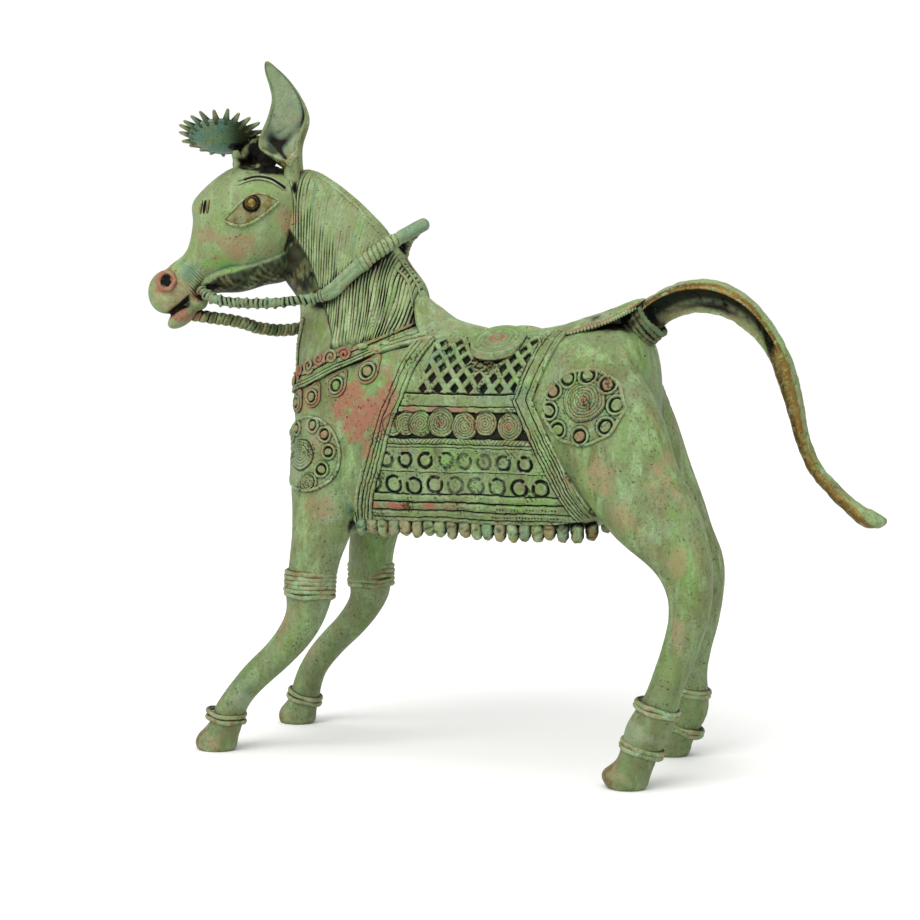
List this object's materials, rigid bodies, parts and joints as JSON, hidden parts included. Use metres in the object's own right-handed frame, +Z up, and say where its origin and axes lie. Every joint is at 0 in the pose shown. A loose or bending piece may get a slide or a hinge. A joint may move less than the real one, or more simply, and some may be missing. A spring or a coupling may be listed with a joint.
{
  "type": "statue",
  "caption": "Lost-wax cast brass horse with green patina: patterned cloth with a beaded hem, saddle, wound reins, a spiked crown and an arched tail.",
  "frame": {"origin": "middle of the casting's length and width, at the height of the hoof soles", "axes": "+X towards the tail, so the horse looks along -X; -Y is its near side, which carries the full pattern; +Z up"},
  "size_m": [0.306, 0.0824, 0.2856],
  "materials": {
    "patinated_brass": "cast by lost wax, green patina worn to bare metal on the high edges"
  },
  "bodies": {
    "root": {"horse": "patinated_brass"}
  },
  "joints": []
}
